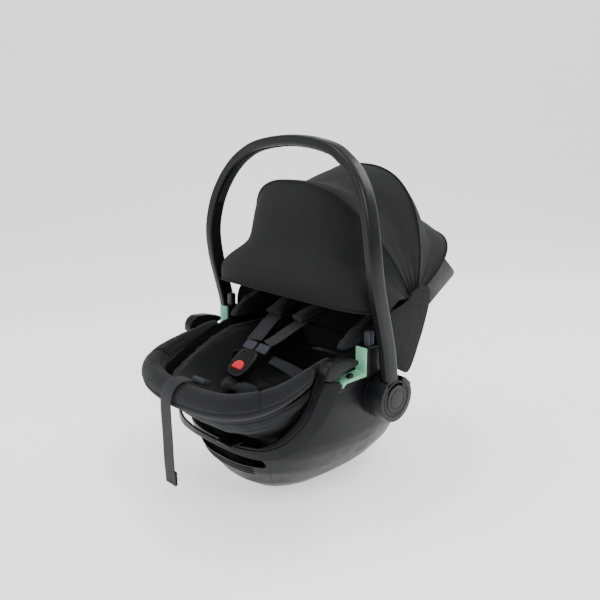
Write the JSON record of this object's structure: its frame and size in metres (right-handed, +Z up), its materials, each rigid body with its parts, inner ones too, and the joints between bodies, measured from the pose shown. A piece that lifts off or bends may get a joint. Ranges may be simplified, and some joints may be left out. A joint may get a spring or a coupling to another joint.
{
  "type": "infant car seat",
  "caption": "Rear-facing infant carrier seat: moulded shell, padded bucket with harness and buckle, hinged backrest, folding canopy and swinging carrying handle.",
  "frame": {"origin": "on the floor, centred, straight below the handle's pivot axis", "axes": "+X to the seated child's left, +Y towards the head end, +Z up"},
  "size_m": [0.43, 0.6031, 0.602],
  "materials": {
    "black_plastic": "satin moulded",
    "grip_rubber": "soft matt",
    "mint_plastic": "matt moulded",
    "slate_plastic": "matt moulded",
    "red_plastic": "semi-gloss",
    "steel": "plain",
    "bow_plastic": "plain",
    "seat_fabric": "fine knit over foam",
    "canopy_fabric": "fine plain weave",
    "webbing": "narrow woven webbing"
  },
  "bodies": {
    "carrier": {"lower_shell": "black_plastic", "shell_trim": "black_plastic", "belt_guide_left": "mint_plastic", "belt_guide_right": "mint_plastic", "guide_clips": "black_plastic", "base_bars": "steel", "rest_pads": "grip_rubber", "pivot_bolts": "steel", "seat_bucket": "black_plastic", "bucket_stand": "black_plastic", "side_plates": "black_plastic", "hinge_pins": "steel", "rim_pad": "seat_fabric", "valance": "seat_fabric", "seat_pad": "seat_fabric", "lumbar_pad": "seat_fabric", "side_wings": "seat_fabric", "side_covers": "canopy_fabric", "crotch_pad": "seat_fabric", "buckle_body": "black_plastic", "buckle_tongues": "slate_plastic", "hip_straps": "webbing", "shoulder_straps": "webbing", "shoulder_pads": "seat_fabric", "adjuster_strap": "webbing", "bow_rear": "bow_plastic", "canopy_rear": "canopy_fabric"},
    "handle": {"handle_bow": "black_plastic", "grip_inlay": "grip_rubber", "hub_left": "black_plastic", "hub_right": "black_plastic", "hub_caps": "black_plastic"},
    "left_button": {"handle_button_left": "slate_plastic"},
    "right_button": {"handle_button_right": "slate_plastic"},
    "left_tab": {"release_tab_left": "slate_plastic"},
    "right_tab": {"release_tab_right": "slate_plastic"},
    "backrest": {"backrest_shell": "black_plastic", "back_pad": "seat_fabric", "side_bolsters": "seat_fabric"},
    "headrest": {"headrest_pad": "seat_fabric"},
    "buckle_release": {"buckle_button": "red_plastic"},
    "harness_release": {"adjuster_button": "slate_plastic"},
    "seat_lever": {"recline_lever": "black_plastic"},
    "hood_mid": {"bow_mid": "bow_plastic", "canopy_mid": "canopy_fabric"},
    "hood_front": {"bow_front": "bow_plastic", "canopy_front": "canopy_fabric"}
  },
  "joints": [
    {"name": "handle_swing", "type": "hinge", "parent": "carrier", "child": "handle", "pos_m": [0, 0, 0.193], "axis": [1, 0, 0], "range_deg": [-112, 0]},
    {"name": "handle_button_left_press", "type": "slide", "parent": "handle", "child": "left_button", "axis": [-1, 0, 0], "range_m": [0, 0.003], "stiffness_N_per_m": 900},
    {"name": "handle_button_right_press", "type": "slide", "parent": "handle", "child": "right_button", "axis": [1, 0, 0], "range_m": [0, 0.003], "stiffness_N_per_m": 900},
    {"name": "release_tab_left_press", "type": "slide", "parent": "carrier", "child": "left_tab", "axis": [0, 0, -1], "range_m": [0, 0.004], "stiffness_N_per_m": 700},
    {"name": "release_tab_right_press", "type": "slide", "parent": "carrier", "child": "right_tab", "axis": [0, 0, -1], "range_m": [0, 0.004], "stiffness_N_per_m": 700},
    {"name": "backrest_recline", "type": "hinge", "parent": "carrier", "child": "backrest", "pos_m": [0, 0.1, 0.315], "axis": [1, 0, 0], "range_deg": [0, 12], "deforming": ["shoulder_straps"]},
    {"name": "headrest_slide", "type": "slide", "parent": "backrest", "child": "headrest", "axis": [0, 0.9033, 0.429], "range_m": [0, 0.03]},
    {"name": "buckle_press", "type": "slide", "parent": "carrier", "child": "buckle_release", "axis": [0, 0.6157, -0.788], "range_m": [0, 0.003], "stiffness_N_per_m": 1200},
    {"name": "harness_release_press", "type": "slide", "parent": "carrier", "child": "harness_release", "axis": [0, -0.4067, -0.9136], "range_m": [0, 0.0025], "stiffness_N_per_m": 900},
    {"name": "seat_lever_pull", "type": "slide", "parent": "carrier", "child": "seat_lever", "axis": [0, -1, 0], "range_m": [0, 0.008], "stiffness_N_per_m": 400},
    {"name": "hood_front_fold", "type": "hinge", "parent": "hood_mid", "child": "hood_front", "pos_m": [0, 0.1, 0.315], "axis": [1, 0, 0], "range_deg": [-30, 0], "deforming": ["canopy_front"]},
    {"name": "hood_mid_fold", "type": "hinge", "parent": "carrier", "child": "hood_mid", "pos_m": [0, 0.1, 0.315], "axis": [1, 0, 0], "range_deg": [-15, 0], "deforming": ["canopy_mid"]}
  ],
  "couplings": [
    {"joint": "hood_mid_fold", "follows": "hood_front_fold", "ratio": 0.5}
  ]
}
